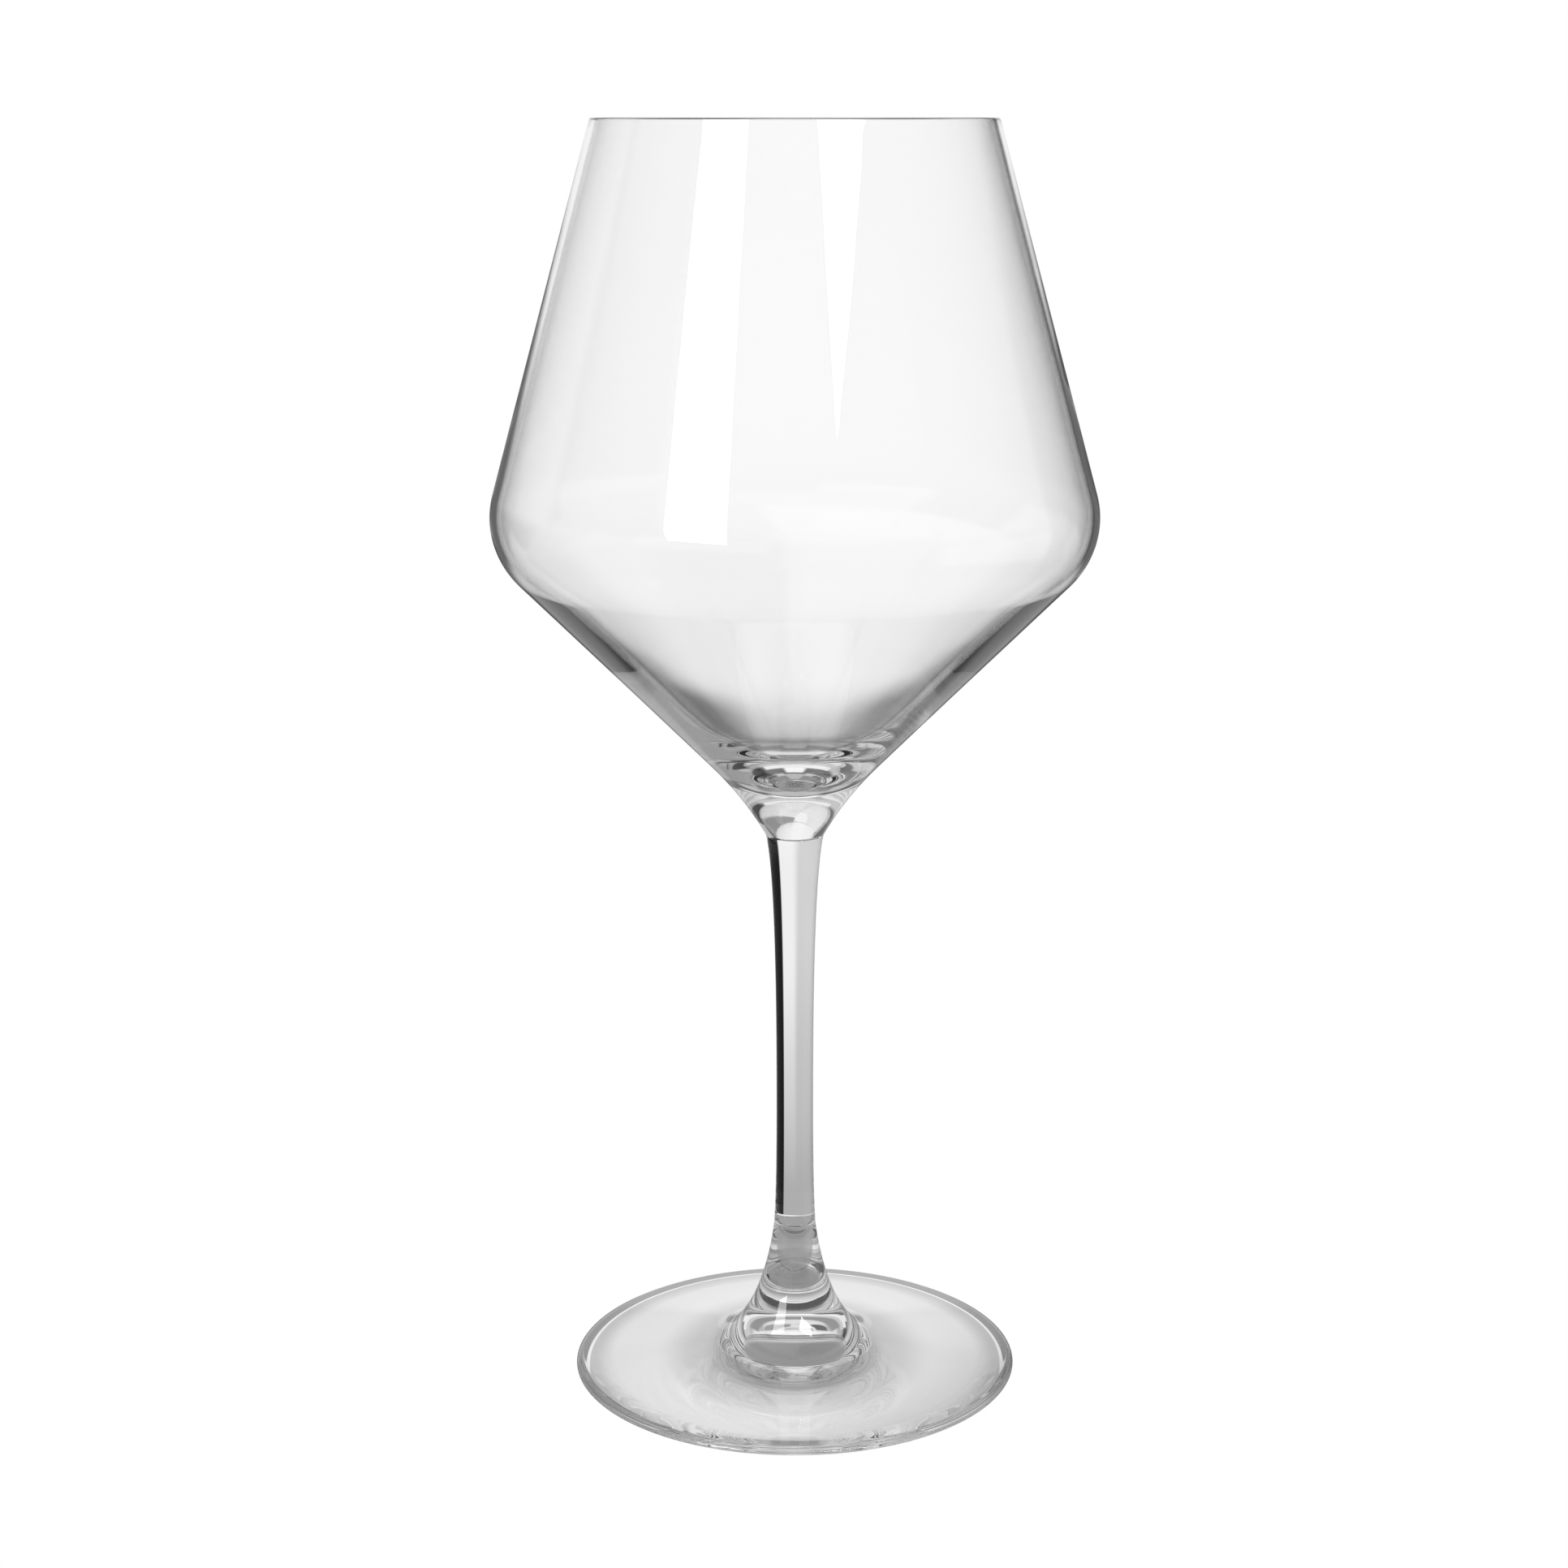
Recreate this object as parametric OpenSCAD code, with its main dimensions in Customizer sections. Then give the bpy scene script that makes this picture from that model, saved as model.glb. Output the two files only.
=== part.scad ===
// Stemmed wine glass with a wide angular bowl, made of three fused pieces of clear glass:
// a blown bowl, a drawn stem and a pressed foot. Every piece is a solid of revolution about Z.
// Units are millimetres and degrees. The origin is the centre of the resting ring, on the table.

/* [Overall] */
// Height of the glass, table to rim
glass_h = 234; // [225:1:250]
// Height of the weld between the foot's neck and the stem
foot_weld_z = 29; // [27:0.5:33]
// Height of the weld between the stem and the bowl
bowl_weld_z = 105; // [100:0.5:106]

/* [Bowl] */
// Outside diameter at the rim
rim_d = 72; // [62:0.5:84]
// Outside diameter at the widest point
belly_d = 109.6; // [104:0.2:116]
// Height of the widest point
belly_z = 164.1; // [158:0.1:170]
// Outside radius that rounds the belly between its two cones
belly_round = 15.7; // [12:0.1:22]
// Angle from level at which the bowl leaves the weld
neck_lean = 60; // [54:1:66]
// Outside radius that flares the neck into the lower cone
neck_round = 65; // [50:1:90]
// Wall thickness at the rim
rim_wall = 1.1; // [0.8:0.05:1.6]
// Wall thickness at the belly
belly_wall = 1.2; // [1.0:0.05:1.6]
// Angle from level of the inside of the lower cone
cone_lean = 42.8; // [41.5:0.1:44]
// Thickness of solid glass between the cavity and the stem's weld
solid_base = 11.3; // [9:0.1:14]
// Inside diameter at which the lower cone starts to turn into the cavity's bottom
cavity_turn_d = 48; // [40:1:56]

/* [Stem] */
// Diameter at the thinnest point
stem_d = 6.9; // [6:0.1:9]
// Height of the thinnest point
stem_waist_z = 55; // [48:1:65]
// Diameter at the weld with the bowl
bowl_weld_d = 10.8; // [9.5:0.1:12.5]
// Diameter at the weld with the foot's neck
foot_weld_d = 7.8; // [7:0.1:10]
// How far the stem's round lower end reaches into the foot's neck
foot_weld_dome = 1.8; // [1:0.1:2.6]
// Depth and half height of the fine groove around each weld
weld_groove = 0.2; // [0.1:0.05:0.4]

/* [Foot] */
// Outside diameter of the foot
foot_d = 84; // [76:0.2:92]
// Thickness of the foot at its rounded edge
edge_h = 2.1; // [1.4:0.1:2.8]
// Width over which the edge is rounded
edge_w = 3; // [2:0.1:4]
// Height of the foot's top where the neck starts to rise
hub_h = 5.5; // [4.5:0.1:6.5]
// Diameter at which the neck starts to rise
hub_d = 33; // [30:0.5:38]
// Width of the flat ring that the glass rests on
ring_w = 3; // [2:0.1:4]
// Height of the hollow under the foot, where it reaches the dimple
hollow_h = 1.2; // [0.6:0.1:1.8]
// Diameter of the round dimple in the middle of the hollow
dimple_d = 22; // [18:1:23]
// Height of the dimple above the hollow
dimple_h = 7.5; // [2:0.1:9]

/* [Hidden] */

glass_colour = [0.93, 0.95, 0.95, 0.35];
turn_fn = 180;
arc_step = 3;
bezier_steps = 24;

// Widest part of the bowl: inside and outside walls are round about this centre
belly_c = [belly_d / 2 - belly_round, belly_z];
belly_inside = belly_round - belly_wall;

// The cavity's bottom is a curve from the lower cone to the axis. Each handle is how far the
// curve is pulled along its ends.
cavity_turn_pull = 7;
cavity_bottom_pull = 8;

// The rim is a full round of the wall's own thickness
rim_r = rim_wall / 2;
rim_c = [rim_d / 2 - rim_r, glass_h - rim_r];

// Outer edges of the welds, where one outline ends and the next starts
bowl_weld = [bowl_weld_d / 2, bowl_weld_z];
foot_weld = [foot_weld_d / 2, foot_weld_z];

// The stem's outline is two curves that meet upright at its waist. Each handle is how far the
// curve is pulled from its end: up and down from the waist, and towards it from the two welds.
stem_waist = [stem_d / 2, stem_waist_z];
waist_up = [0, 20];
waist_down = [0, -12];
bowl_weld_pull = [-1.6, -7];
foot_weld_pull = [-0.3, 5];

// The stem's side of the groove around the upper weld leans in by this share of the groove's depth
groove_lean = 0.25;

// Edge of the foot, half an ellipse, its resting ring, and where the neck meets the sloping top
edge_c = [foot_d / 2 - edge_w, edge_h / 2];
ring_in = edge_c[0] - ring_w;
hub = [hub_d / 2, hub_h];
// Stretching the edge by this much in height makes it a circle
edge_stretch = 2 * edge_w / edge_h;
neck_pull = [1, -8.5];
hub_pull = 8.4;
// The hollow's curve is pulled along its ends by this share of the ring's inside radius
hollow_pull = 0.2 * ring_in;

// Angle of the normal shared by circles a and b along their common tangent. A circle is
// [[r, z], radius]: 0 for a point, negative if it lies on the far side of the tangent.
// side is 1 or -1, and picks one of the two tangents.
function tangent_angle(a, b, side) =
    let (d = b[0] - a[0])
    atan2(d[1], d[0]) + side * acos((a[1] - b[1]) / norm(d));

// Points on a circle about c from one angle to another
function arc(c, r, from, to) =
    let (steps = max(2, ceil(abs(to - from) / arc_step)))
    [for (i = [0:steps]) let (a = from + (to - from) * i / steps) c + r * [cos(a), sin(a)]];

// Points on a cubic Bezier curve with end points a and d and handles b and c
function bezier(a, b, c, d) =
    [for (i = [0:bezier_steps]) let (t = i / bezier_steps, u = 1 - t)
        u * u * u * a + 3 * u * u * t * b + 3 * u * t * t * c + t * t * t * d];

// Outside of the bowl, from the weld up to the rim
function bowl_outside() =
    let (
        belly = [belly_c, belly_round],
        neck_c = bowl_weld + neck_round * [sin(neck_lean), -cos(neck_lean)],
        groove_turn = 180 / PI * weld_groove / neck_round,
        low = tangent_angle([neck_c, -neck_round], belly, -1),
        high = tangent_angle(belly, [rim_c, rim_r], -1)
    )
    concat(
        [[0, bowl_weld_z], bowl_weld - [weld_groove, 0]],
        arc(neck_c, neck_round, neck_lean + 90 - groove_turn, low + 180),
        arc(belly_c, belly_round, low, high),
        arc(rim_c, rim_r, high, 90)
    );

// Inside of the bowl, from the rim down to the bottom of the cavity
function bowl_inside() =
    let (
        high = tangent_angle([belly_c, belly_inside], [rim_c, -rim_r], -1),
        cone_top = belly_c + belly_inside * [sin(cone_lean), -cos(cone_lean)],
        down = [-cos(cone_lean), -sin(cone_lean)],
        cone_end = cone_top + (cone_top[0] - cavity_turn_d / 2) / cos(cone_lean) * down,
        bottom = [0, bowl_weld_z + solid_base]
    )
    concat(
        arc(rim_c, rim_r, 90, 180 + high),
        arc(belly_c, belly_inside, high, cone_lean - 90),
        bezier(cone_end, cone_end + cavity_turn_pull * down, bottom + [cavity_bottom_pull, 0], bottom)
    );

// Round end of the stem in the foot's neck, from the axis out to the fine groove
function foot_weld_end() =
    let (
        end_r = foot_weld[0] - weld_groove,
        dome_r = (end_r * end_r + foot_weld_dome * foot_weld_dome) / (2 * foot_weld_dome)
    )
    arc([0, foot_weld_z - foot_weld_dome + dome_r], dome_r, -90, -90 + asin(end_r / dome_r));

// Outline of the stem, waisted between its two welds
function stem_outline() =
    let (
        low = foot_weld + [0, weld_groove],
        high = bowl_weld - [groove_lean * weld_groove, weld_groove]
    )
    concat(
        foot_weld_end(),
        bezier(low, low + foot_weld_pull, stem_waist + waist_down, stem_waist),
        bezier(stem_waist, stem_waist + waist_up, high + bowl_weld_pull, high),
        [bowl_weld - [weld_groove, 0], [0, bowl_weld_z]]
    );

// Top of the foot: the neck, and the slope down to the rounded edge
function foot_top() =
    let (
        low = foot_weld - [0, weld_groove],
        tall_hub = [hub[0], hub[1] * edge_stretch],
        tall_edge_c = [edge_c[0], edge_c[1] * edge_stretch],
        tall_edge = arc(
            tall_edge_c, edge_w, tangent_angle([tall_hub, 0], [tall_edge_c, edge_w], 1), -90
        ),
        edge = [for (p = tall_edge) [p[0], p[1] / edge_stretch]],
        up_slope = (hub - edge[0]) / norm(hub - edge[0])
    )
    concat(bezier(low, low + neck_pull, hub + hub_pull * up_slope, hub), edge);

// Underside of the foot, from the inside of the resting ring up to the top of the dimple
function foot_hollow() =
    let (
        dimple = [dimple_d / 2, hollow_h],
        dimple_r = (dimple[0] * dimple[0] + dimple_h * dimple_h) / (2 * dimple_h)
    )
    concat(
        bezier([ring_in, 0], [ring_in - hollow_pull, hollow_h / 2], dimple + [hollow_pull, 0], dimple),
        arc([0, hollow_h + dimple_h - dimple_r], dimple_r, acos(dimple[0] / dimple_r), 90)
    );

// Turns an outline of [r, z] points about Z
module turned(outline) {
    color(glass_colour) rotate_extrude($fn = turn_fn) polygon(outline);
}

module bowl() {
    turned(concat(bowl_outside(), bowl_inside()));
}

module stem() {
    turned(stem_outline());
}

module foot() {
    turned(concat(foot_weld_end(), foot_top(), foot_hollow()));
}

bowl();
stem();
foot();
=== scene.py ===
"""Looks of the wine glass: clear blown and pressed glass in a white studio.

The three CAD solids are turned again as fine meshes from their own sections, so that light bends
through them smoothly. Where two of them are fused, one face bends nothing and the other a little,
which shows as the fine line of the weld.
Lengths are metres and angles degrees, in the CAD model's frame: +Z up, the glass stands on z = 0.
"""

import math

import bmesh
import bpy
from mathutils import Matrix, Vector


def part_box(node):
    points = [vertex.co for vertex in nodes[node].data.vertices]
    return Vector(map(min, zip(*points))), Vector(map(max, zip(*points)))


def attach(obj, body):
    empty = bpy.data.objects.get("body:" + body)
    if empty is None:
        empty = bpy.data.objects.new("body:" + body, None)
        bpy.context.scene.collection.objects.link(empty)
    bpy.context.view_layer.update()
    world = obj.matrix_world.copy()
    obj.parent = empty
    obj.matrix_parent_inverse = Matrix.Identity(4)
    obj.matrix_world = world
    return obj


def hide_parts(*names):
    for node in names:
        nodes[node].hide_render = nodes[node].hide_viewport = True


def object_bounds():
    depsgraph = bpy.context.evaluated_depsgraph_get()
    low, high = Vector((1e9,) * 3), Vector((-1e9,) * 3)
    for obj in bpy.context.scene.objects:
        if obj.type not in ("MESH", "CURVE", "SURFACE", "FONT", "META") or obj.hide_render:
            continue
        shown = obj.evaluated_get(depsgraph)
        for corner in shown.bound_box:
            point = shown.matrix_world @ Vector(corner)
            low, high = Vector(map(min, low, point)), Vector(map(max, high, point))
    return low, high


# Turned meshes: steps around, and the most that one row may cover in length and in turn
TURN_STEPS = 240
ROW_LENGTH = 0.0016
ROW_ANGLE = 1.6
# A section turns less than the first of these on a straight stretch, and more than the second at
# a sharp corner
STRAIGHT_ANGLE = 0.05
CORNER_ANGLE = 14
# How far the middle of a fused face is drawn into its piece
WELD_DISH = 0.00004
# Points of a CAD mesh closer than the first of these are one, and a radius or a height under the
# second is zero
SAME_POINT = 1e-6
NOTHING = 1e-7

# Glass, and the small step between two melts at a weld
GLASS_IOR = 1.52
WELD_IOR = 0.975
# Waves in the glass: how many to the metre, and how high
WAVE_SCALE = 70.0
WAVE_HEIGHT = 0.00002
WAVE_DETAIL = 1.0

# Camera
CAMERA_DISTANCE = 0.5129
CAMERA_PITCH = 13.13
CAMERA_LENS = 65.6
CAMERA_SHIFT = -0.0069
CAMERA_CLIP = 0.01

# A count of surfaces that is more than this is one or more
ONE_OR_MORE = 0.5
# Light that has passed more glass surfaces than this has crossed the bowl, or two pieces
DEEP = 3.5
# How often light may bounce in the glass and pass its clear faces
MOST_BOUNCES = 32
MOST_CLEAR_FACES = 16

# White floor, a little below the glass
FLOOR_SIZE = 60.0
FLOOR_GAP = 0.0005

# Lit cards: corners as azimuth and elevation from a place on the glass's axis, where azimuth 0 is
# the camera's side and 90 is +X, and strength
LIGHT_CARDS = {
    "left_softbox": (((-46, 8.5), (-24, 7.5), (-28, 40), (-60, 40)), 8),
    "right_softbox": (((17, 23), (41, 30), (44, 45), (10, 38)), 11),
}
# How far the cards are from the axis, and the height of that place on it
CARD_DISTANCE = 1.2
CARD_ORIGIN_HEIGHT = 0.2

# Mat under the foot, with the glass's shadow and caustic painted on it in rings: its brightness at
# radii from its middle outwards
MAT_RADIUS = 0.06
MAT_PAINTED_RINGS = (
    (0.0, 0.25),
    (0.010, 0.27),
    (0.018, 0.62),
    (0.027, 0.86),
    (0.034, 0.84),
    (0.0385, 0.56),
    (0.0390, 0.56),
    (0.0392, 0.98),
    (0.0395, 0.98),
    (0.0397, 0.26),
    (0.0415, 0.26),
    (0.0423, 0.06),
    (0.0438, 0.06),
    (0.0448, 0.36),
)
# Painted shade: share of the mat's light that is left after that many glass surfaces
MAT_DEEP_PAINTED_SHADE = 0.38
# Painted shade: the mat grows darker in this direction: where that starts and ends, and the share that
# is left
FRONT_RIGHT = (0.8, -0.6, 0)
MAT_SHADE = (0.012, 0.045, 0.7)

# What is seen of the studio through the bowl, through less glass, and reflected. A zone is the
# azimuth from and to, where 0 is straight behind the glass and 90 is +X, the elevation from and
# to, the softness of its sides, and the brightness. Later zones cover earlier ones, and the first
# one of each set covers everything.
THROUGH_BOWL = {
    "backdrop": (-180, 180, -90, 90, 0, 1.06),
    "backdrop_low": (-180, 180, -90, -9, 4, 0.99),
    "table": (-180, 180, -46, -22, 5, 0.8),
    "table_behind": (-28, 28, -50, -22, 5, 0.55),
    "table_middle": (-28, 28, -50, -30, 4, 0.2),
    "table_left": (-12, -3.5, -50, -21, 2.5, 0.08),
    "table_right": (3.5, 12, -50, -21, 2.5, 0.18),
    "dark_corner": (-15, -5, -50, -24, 3, 0.06),
}
THROUGH_SOLID = {
    "backdrop": (-180, 180, -90, 90, 0, 0.93),
    "left": (-110, -2, -90, 14, 7, 0.68),
    "table": (-180, 180, -42, -18, 3, 0.62),
    "table_left": (-110, -2, -42, -18, 5, 0.52),
    "table_near": (-180, 180, -42, -21.5, 2, 0.44),
    "table_under": (-180, 180, -42, -27, 2, 0.34),
    "right_flag": (28, 104, -90, 6, 2, 0.0),
}
REFLECTED = {
    "room": (-180, 180, -90, 90, 0, 0.25),
    "horizon": (-180, 180, -34, 10, 6, 0.13),
    "upper": (-180, 180, 16, 90, 8, 0.45),
    "ceiling": (-180, 180, 34, 90, 6, 0.78),
    "ceiling_left": (-165, -28, 40, 90, 6, 0.92),
    "ceiling_right": (72, 165, 28, 90, 6, 0.3),
    "left_wall": (-75, -28, 2, 28, 5, 0.6),
    "above_backdrop": (-28, 28, 13, 24, 3, 0.6),
    "backdrop_roll": (-20, 20, 24, 46, 4, 0.3),
    "right_wall": (68, 124, -20, 1, 3, 0.5),
    "right_side": (66, 126, 1, 34, 3, 0.34),
    "left_side": (-126, -76, 1, 34, 3, 0.14),
    "backdrop": (-8, 8, -17, 13, 2, 1.0),
    "backdrop_top": (-30, 24, 0.5, 13, 2, 0.9),
    "below_backdrop": (-14, 14, -90, -26, 4, 0.5),
    "below_left": (-30, -12, -35, -18, 3, 0.55),
    "below_right": (12, 30, -35, -18, 3, 0.55),
    "right_flag": (28, 70, -30, 13, 2, 0.03),
    "window": (-170, -120, 1, 14, 3, 0.5),
}


# Meshes


def mesh_object(name, bm):
    """A new object in the scene from a bmesh, which is freed."""
    mesh = bpy.data.meshes.new(name)
    bm.to_mesh(mesh)
    bm.free()
    obj = bpy.data.objects.new(name, mesh)
    bpy.context.scene.collection.objects.link(obj)
    return obj


def section(node):
    """Half of a CAD node's section, as Vectors (radius, height) that start and end on its axis."""
    bm = bmesh.new()
    bm.from_mesh(node.data)
    bmesh.ops.remove_doubles(bm, verts=bm.verts, dist=SAME_POINT)
    for normal, both_sides in (((0, 1, 0), True), ((1, 0, 0), False)):
        bmesh.ops.bisect_plane(
            bm,
            geom=bm.verts[:] + bm.edges[:] + bm.faces[:],
            dist=SAME_POINT,
            plane_co=(0, 0, 0),
            plane_no=normal,
            clear_inner=True,
            clear_outer=both_sides,
        )
    bmesh.ops.remove_doubles(bm, verts=bm.verts, dist=SAME_POINT)
    here = min((v for v in bm.verts if len(v.link_edges) == 1), key=lambda v: v.co.z)
    points, edge = [], None
    while here:
        points.append(Vector((max(here.co.x, 0.0), here.co.z)))
        edge = next((e for e in here.link_edges if e is not edge), None)
        here = edge.other_vert(here) if edge else None
    bm.free()
    return points


def turn_angle(before, point, after):
    """How far a line through three points turns at the middle one."""
    return math.degrees((point - before).angle(after - point))


def corners_only(points):
    """The points of a line without those that lie on a straight stretch of it."""
    kept = [points[0]]
    for point, after in zip(points[1:], points[2:]):
        if turn_angle(kept[-1], point, after) > STRAIGHT_ANGLE:
            kept.append(point)
    return kept + [points[-1]]


def smooth_rows(points):
    """A smooth line through the points, with its sharp corners kept."""
    sharp = {0, len(points) - 1}
    for i in range(1, len(points) - 1):
        if turn_angle(*points[i - 1 : i + 2]) > CORNER_ANGLE:
            sharp.add(i)
    lowest = min(p.y for p in points)
    rows = [points[0]]
    for i in range(len(points) - 1):
        a, b = points[i], points[i + 1]
        chord = b - a
        length = chord.length
        leave = chord if i in sharp else (b - points[i - 1]).normalized() * length
        arrive = chord if i + 1 in sharp else (points[i + 2] - a).normalized() * length
        bend = math.degrees(leave.angle(chord) + arrive.angle(chord))
        steps = max(1, math.ceil(length / ROW_LENGTH), math.ceil(bend / ROW_ANGLE))
        for k in range(1, steps + 1):
            t = k / steps
            u = 1 - t
            row = u * u * (1 + 2 * t) * a + t * t * (3 - 2 * t) * b + t * u * (u * leave - t * arrive)
            rows.append(Vector((row.x, max(row.y, lowest))))
    return rows


def cap_length(rows, weld_heights):
    """How many rows lie on a weld at the start of a section: those from the axis to a sharp corner."""
    if not any(abs(rows[0].y - z) < NOTHING for z in weld_heights):
        return 0
    count = 1
    while turn_angle(*rows[count - 1 : count + 2]) < CORNER_ANGLE:
        count += 1
    return count


def dished(rows, cap):
    """The rows with those of a weld cap drawn a hair's breadth into the piece, most at the axis."""
    inward = math.copysign(WELD_DISH, rows[len(rows) // 2].y - rows[0].y)
    return [Vector((r.x, r.y + inward * (1 - r.x / rows[cap].x))) for r in rows[:cap]] + rows[cap:]


def turned(name, rows, first_cap, last_cap):
    """Turns rows about Z. A row on the axis becomes one point. Faces of the two caps get material 1."""
    bm = bmesh.new()
    rings = []
    for row in rows:
        if row.x < NOTHING:
            rings.append([bm.verts.new((0, 0, row.y))])
            continue
        angles = (math.tau * k / TURN_STEPS for k in range(TURN_STEPS))
        rings.append([bm.verts.new((row.x * math.cos(a), row.x * math.sin(a), row.y)) for a in angles])
    for i, (low, high) in enumerate(zip(rings, rings[1:])):
        on_cap = i < first_cap or i >= len(rows) - 1 - last_cap
        for k in range(TURN_STEPS):
            j = (k + 1) % TURN_STEPS
            corners = [low[k % len(low)], low[j % len(low)], high[j % len(high)], high[k % len(high)]]
            face = bm.faces.new(list(dict.fromkeys(corners)))
            face.smooth = True
            face.material_index = int(on_cap)
    bmesh.ops.recalc_face_normals(bm, faces=bm.faces)
    return mesh_object(name, bm)


def glass_piece(node, weld_heights, materials):
    """A fine turned mesh that stands for a CAD node."""
    points = corners_only(section(node))
    rows = smooth_rows(points)
    caps = []
    for _ in range(2):
        caps.append(cap_length(rows, weld_heights))
        rows = dished(rows, caps[-1])[::-1]
    piece = turned(node.name + "_glass", rows, *caps)
    piece.data.set_sharp_from_angle(angle=math.radians(CORNER_ANGLE))
    for item in materials:
        piece.data.materials.append(item)
    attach(piece, "root")
    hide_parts(node.name)
    return piece


# Materials


def surface(name, shader_kind):
    """A new material with one shader on its surface. Returns the material and the shader node."""
    made = bpy.data.materials.new(name)
    made.use_nodes = True
    tree = made.node_tree
    tree.nodes.clear()
    shader = tree.nodes.new(shader_kind)
    out = tree.nodes.new("ShaderNodeOutputMaterial")
    tree.links.new(shader.outputs[0], out.inputs["Surface"])
    return made, shader


def make_glass():
    """Clear glass, very slightly wavy from being worked hot."""
    made, shader = surface("polished_glass", "ShaderNodeBsdfPrincipled")
    tree = made.node_tree
    waves = tree.nodes.new("ShaderNodeTexNoise")
    waves.inputs["Scale"].default_value = WAVE_SCALE
    waves.inputs["Detail"].default_value = WAVE_DETAIL
    tree.links.new(tree.nodes.new("ShaderNodeTexCoord").outputs["Object"], waves.inputs["Vector"])
    bump = tree.nodes.new("ShaderNodeBump")
    bump.inputs["Distance"].default_value = WAVE_HEIGHT
    tree.links.new(waves.outputs[0], bump.inputs["Height"])
    tree.links.new(bump.outputs["Normal"], shader.inputs["Normal"])
    shader.inputs["Base Color"].default_value = (1, 1, 1, 1)
    shader.inputs["Roughness"].default_value = 0.0
    shader.inputs["IOR"].default_value = GLASS_IOR
    shader.inputs["Transmission Weight"].default_value = 1.0
    return made


def make_fused_joint():
    """For the bowl's and the foot's fused faces: nothing is bent or reflected there."""
    return surface("fused_joint", "ShaderNodeBsdfTransparent")[0]


def make_weld_step():
    """For the stem's fused faces: the two melts differ a little, so a fine line shows."""
    made, shader = surface("weld_step", "ShaderNodeBsdfGlass")
    shader.inputs["Roughness"].default_value = 0.0
    shader.inputs["IOR"].default_value = WELD_IOR
    return made


# Studio


def from_glass(azimuth, elevation, distance, height):
    """A place seen from the glass's axis at a height. Azimuth 0 is the camera's side, 90 is +X."""
    a, e = math.radians(azimuth), math.radians(elevation)
    flat = Vector((math.sin(a), -math.cos(a), 0))
    return flat * distance + Vector((0, 0, height + distance * math.tan(e)))


def light_card(name, corners, strength):
    """A lit card that shows only where the outside of the glass reflects it."""
    bm = bmesh.new()
    bm.faces.new([bm.verts.new(from_glass(*c, CARD_DISTANCE, CARD_ORIGIN_HEIGHT)) for c in corners])
    card = mesh_object(name, bm)
    material, shader = surface(name + "_light", "ShaderNodeEmission")
    tree = material.node_tree
    depth = tree.nodes.new("ShaderNodeLightPath").outputs["Transmission Depth"]
    outside = math_node(tree, "LESS_THAN", depth, ONE_OR_MORE)
    tree.links.new(math_node(tree, "MULTIPLY", outside, strength), shader.inputs["Strength"])
    card.data.materials.append(material)
    card.visible_camera = False
    card.visible_transmission = False


def make_floor():
    """A white floor that only the camera sees."""
    bm = bmesh.new()
    bmesh.ops.create_grid(bm, size=FLOOR_SIZE / 2)
    floor = mesh_object("floor", bm)
    floor.location.z = -FLOOR_GAP
    material, shader = surface("white_floor", "ShaderNodeEmission")
    shader.inputs["Strength"].default_value = 1.0
    floor.data.materials.append(material)
    floor.visible_transmission = False
    floor.visible_glossy = False


def joined(tree, kind, *values, **settings):
    """A new node with its inputs linked or set in order. Returns its first output."""
    node = tree.nodes.new(kind)
    for name, value in settings.items():
        setattr(node, name, value)
    for socket, value in zip(node.inputs, values):
        if isinstance(value, bpy.types.NodeSocket):
            tree.links.new(value, socket)
        else:
            socket.default_value = value
    return node.outputs[0]


def math_node(tree, operation, *values):
    """The result of a math node."""
    return joined(tree, "ShaderNodeMath", *values, operation=operation)


def ramp(tree, value, start, end, low, high):
    """Goes smoothly from low to high as value goes from start to end."""
    return joined(
        tree, "ShaderNodeMapRange", value, start, end, low, high, interpolation_type="SMOOTHSTEP"
    )


def zone(tree, angle, start, end, soft):
    """1 where an angle is from start to end, and 0 elsewhere, with soft sides."""
    enter = ramp(tree, angle, start - soft, start + soft, 0.0, 1.0)
    leave = ramp(tree, angle, end - soft, end + soft, 1.0, 0.0)
    return math_node(tree, "MULTIPLY", enter, leave)


def mixed(tree, factor, a, b):
    """a where the factor is 0, and b where it is 1."""
    return math_node(tree, "MULTIPLY_ADD", factor, math_node(tree, "SUBTRACT", b, a), a)


def lit_by(tree, azimuth, elevation, zones):
    """Brightness from a direction: that of the last of the zones that it lies in.

    A zone that reaches straight up or down is carried on past that, so its side there isn't soft.
    """
    level = None
    for left, right, low, high, soft, brightness in zones.values():
        if level is None:
            level = brightness
            continue
        bottom = low if low > -90 else -180
        top = high if high < 90 else 180
        inside = zone(tree, elevation, bottom, top, soft)
        if right - left < 360:
            inside = math_node(tree, "MULTIPLY", inside, zone(tree, azimuth, left, right, soft))
        level = mixed(tree, inside, level, brightness)
    return level


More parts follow.
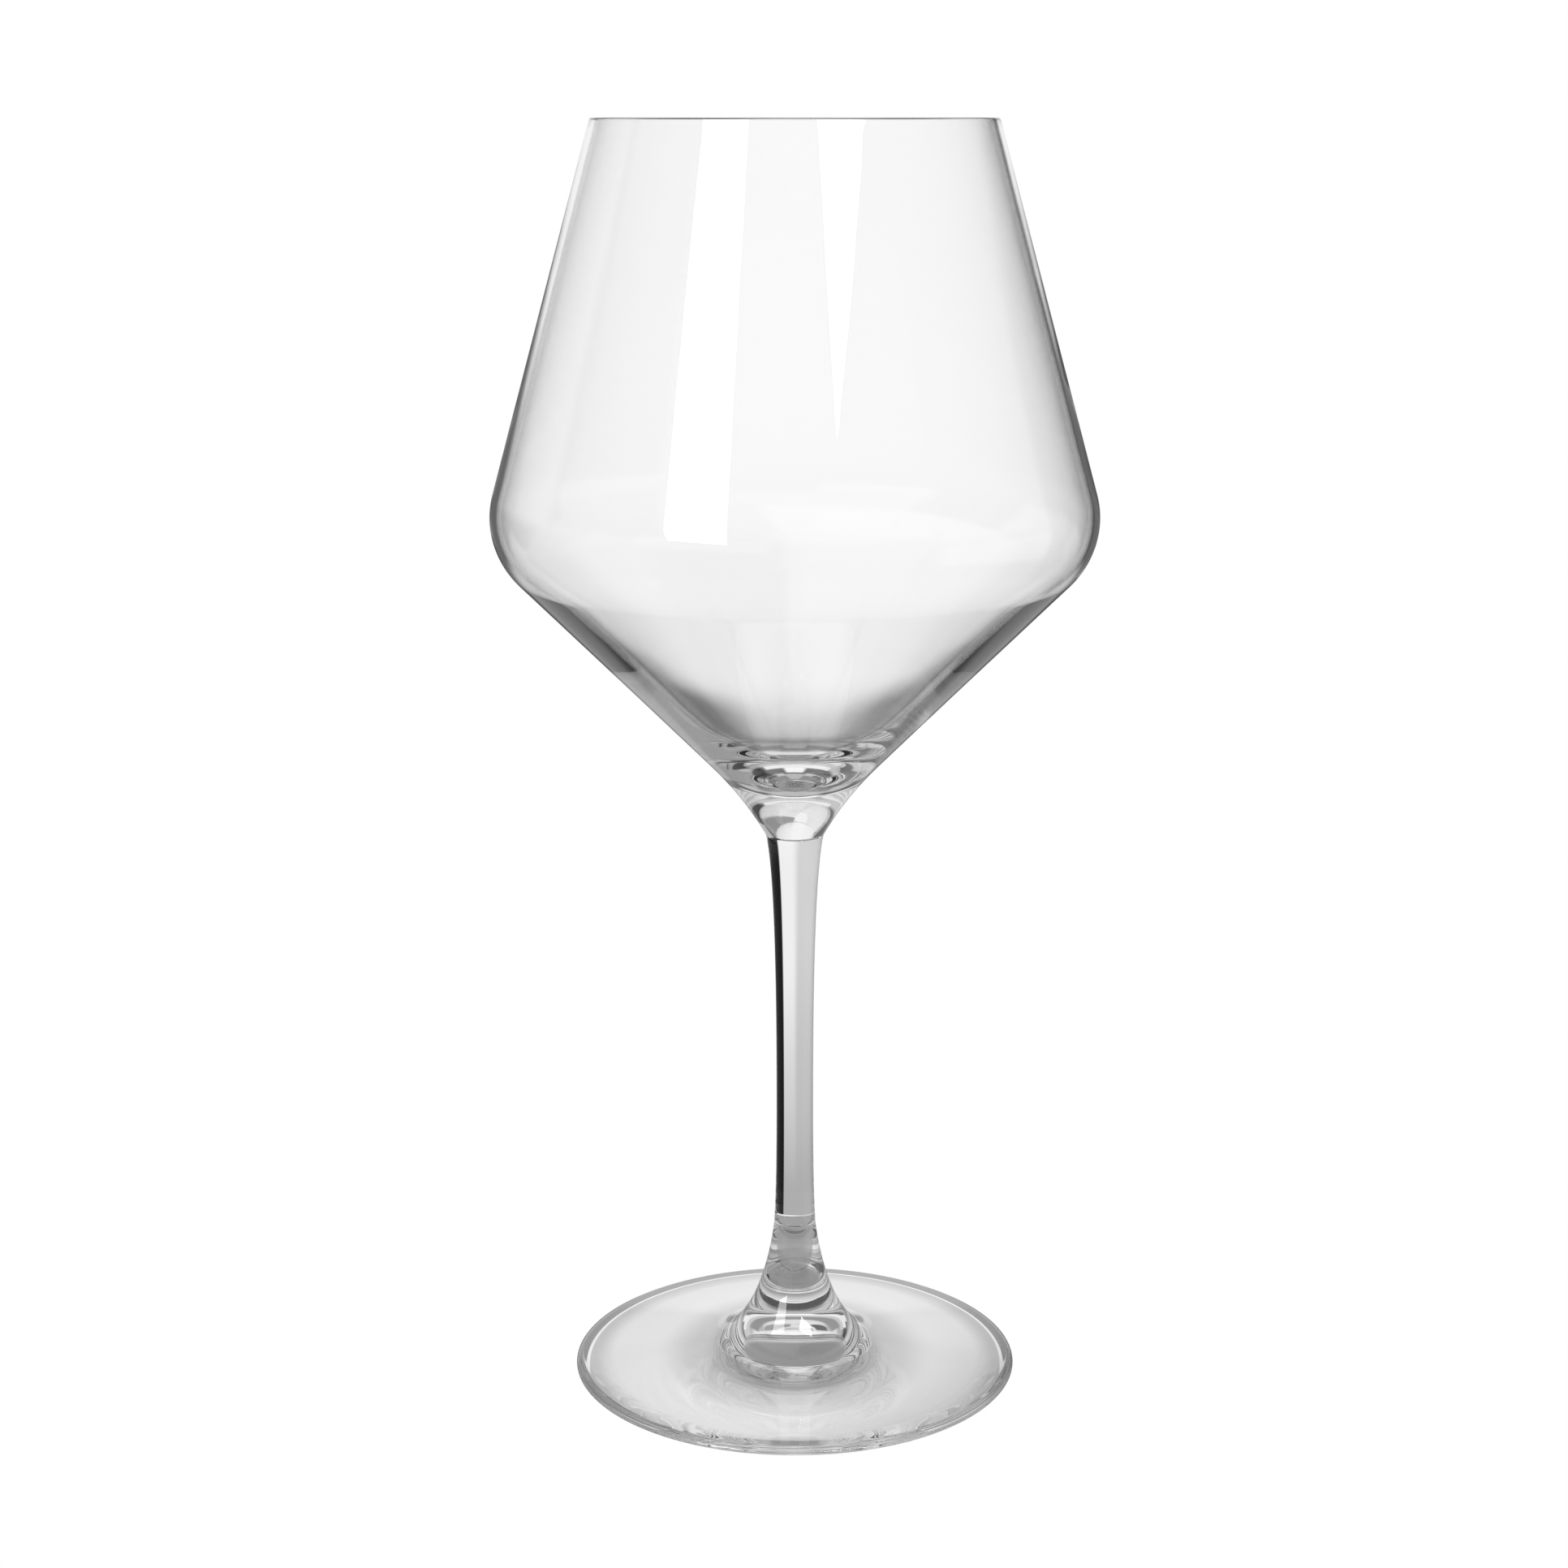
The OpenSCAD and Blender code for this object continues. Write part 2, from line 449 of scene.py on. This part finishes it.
def make_mat():
    """A round glowing mat under the foot, seen only through the glass, with painted shade and light:
    the glass's shadow and caustic in rings, and painted shade towards the front right and where more
    glass is crossed.
    """
    bm = bmesh.new()
    bmesh.ops.create_circle(bm, cap_ends=True, segments=TURN_STEPS, radius=MAT_RADIUS)
    mat = mesh_object("shadow_painted_mat", bm)
    mat.location.z = -FLOOR_GAP
    material, shader = surface("shadow_painted_mat", "ShaderNodeEmission")
    tree = material.node_tree
    depth = tree.nodes.new("ShaderNodeLightPath").outputs["Transmission Depth"]
    place = tree.nodes.new("ShaderNodeTexCoord").outputs["Object"]
    distance = tree.nodes.new("ShaderNodeVectorMath")
    distance.operation = "LENGTH"
    tree.links.new(place, distance.inputs[0])
    # Painted shadow and caustic of the glass, in rings
    level = MAT_PAINTED_RINGS[0][1]
    for (start, before), (end, after) in zip(MAT_PAINTED_RINGS, MAT_PAINTED_RINGS[1:]):
        level = math_node(
            tree, "ADD", level, ramp(tree, distance.outputs["Value"], start, end, 0.0, after - before)
        )
    # Painted shade where the mat is seen through more glass surfaces
    deep = math_node(tree, "GREATER_THAN", depth, DEEP)
    level = math_node(tree, "MULTIPLY", level, mixed(tree, deep, 1.0, MAT_DEEP_PAINTED_SHADE))
    # Painted shade towards the front right
    front_right = tree.nodes.new("ShaderNodeVectorMath")
    front_right.operation = "DOT_PRODUCT"
    tree.links.new(place, front_right.inputs[0])
    front_right.inputs[1].default_value = FRONT_RIGHT
    start, end, share = MAT_SHADE
    shade = ramp(tree, front_right.outputs["Value"], start, end, 1.0, share)
    level = math_node(tree, "MULTIPLY", level, shade)
    tree.links.new(level, shader.inputs["Strength"])
    mat.data.materials.append(material)
    mat.visible_camera = False
    mat.visible_glossy = False


def make_world():
    """White to the camera. The glass shows a studio, a plainer one through the bowl than elsewhere."""
    world = bpy.data.worlds.new("studio")
    bpy.context.scene.world = world
    world.use_nodes = True
    tree = world.node_tree
    path = tree.nodes.new("ShaderNodeLightPath").outputs
    direction = tree.nodes.new("ShaderNodeTexCoord").outputs["Generated"]
    split = tree.nodes.new("ShaderNodeSeparateXYZ")
    tree.links.new(direction, split.inputs[0])
    x, y, z = split.outputs
    azimuth = math_node(tree, "DEGREES", math_node(tree, "ARCTAN2", x, y))
    elevation = math_node(tree, "DEGREES", math_node(tree, "ARCSINE", z))

    deep = math_node(tree, "GREATER_THAN", path["Transmission Depth"], DEEP)
    bounced = math_node(tree, "GREATER_THAN", path["Glossy Depth"], ONE_OR_MORE)
    solid, bowl, reflected = (
        lit_by(tree, azimuth, elevation, zones) for zones in (THROUGH_SOLID, THROUGH_BOWL, REFLECTED)
    )
    through = mixed(tree, deep, solid, bowl)
    seen = mixed(tree, bounced, through, reflected)
    strength = mixed(tree, path["Is Camera Ray"], seen, 1.0)
    background = tree.nodes["Background"]
    background.inputs["Color"].default_value = (1, 1, 1, 1)
    tree.links.new(strength, background.inputs["Strength"])


def make_camera(rim_height):
    """A camera level with the rim, looking a little down."""
    data = bpy.data.cameras.new("camera")
    data.lens = CAMERA_LENS
    data.shift_x = CAMERA_SHIFT
    data.clip_start = CAMERA_CLIP
    camera = bpy.data.objects.new("camera", data)
    camera.location = (0, -CAMERA_DISTANCE, rim_height)
    camera.rotation_euler = (math.radians(90 - CAMERA_PITCH), 0, 0)
    bpy.context.scene.collection.objects.link(camera)
    bpy.context.scene.camera = camera


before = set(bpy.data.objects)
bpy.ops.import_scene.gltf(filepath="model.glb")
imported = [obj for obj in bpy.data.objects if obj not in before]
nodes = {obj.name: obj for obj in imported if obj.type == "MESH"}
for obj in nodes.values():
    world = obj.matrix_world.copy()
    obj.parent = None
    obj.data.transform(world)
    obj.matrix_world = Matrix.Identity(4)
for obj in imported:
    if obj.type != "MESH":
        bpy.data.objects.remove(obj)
cad_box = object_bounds()

make_camera(cad_box[1].z)
weld_heights = (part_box("bowl")[0].z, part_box("stem")[0].z)
glass = make_glass()
fused_joint = make_fused_joint()
weld_step = make_weld_step()
for node in nodes.values():
    glass_piece(node, weld_heights, (glass, weld_step if node.name == "stem" else fused_joint))

make_world()
make_floor()
make_mat()
for name, (corners, strength) in LIGHT_CARDS.items():
    light_card(name, corners, strength)

scene = bpy.context.scene
scene.view_settings.view_transform = "Standard"
scene.cycles.max_bounces = MOST_BOUNCES
scene.cycles.transmission_bounces = MOST_BOUNCES
scene.cycles.glossy_bounces = MOST_BOUNCES
scene.cycles.transparent_max_bounces = MOST_CLEAR_FACES
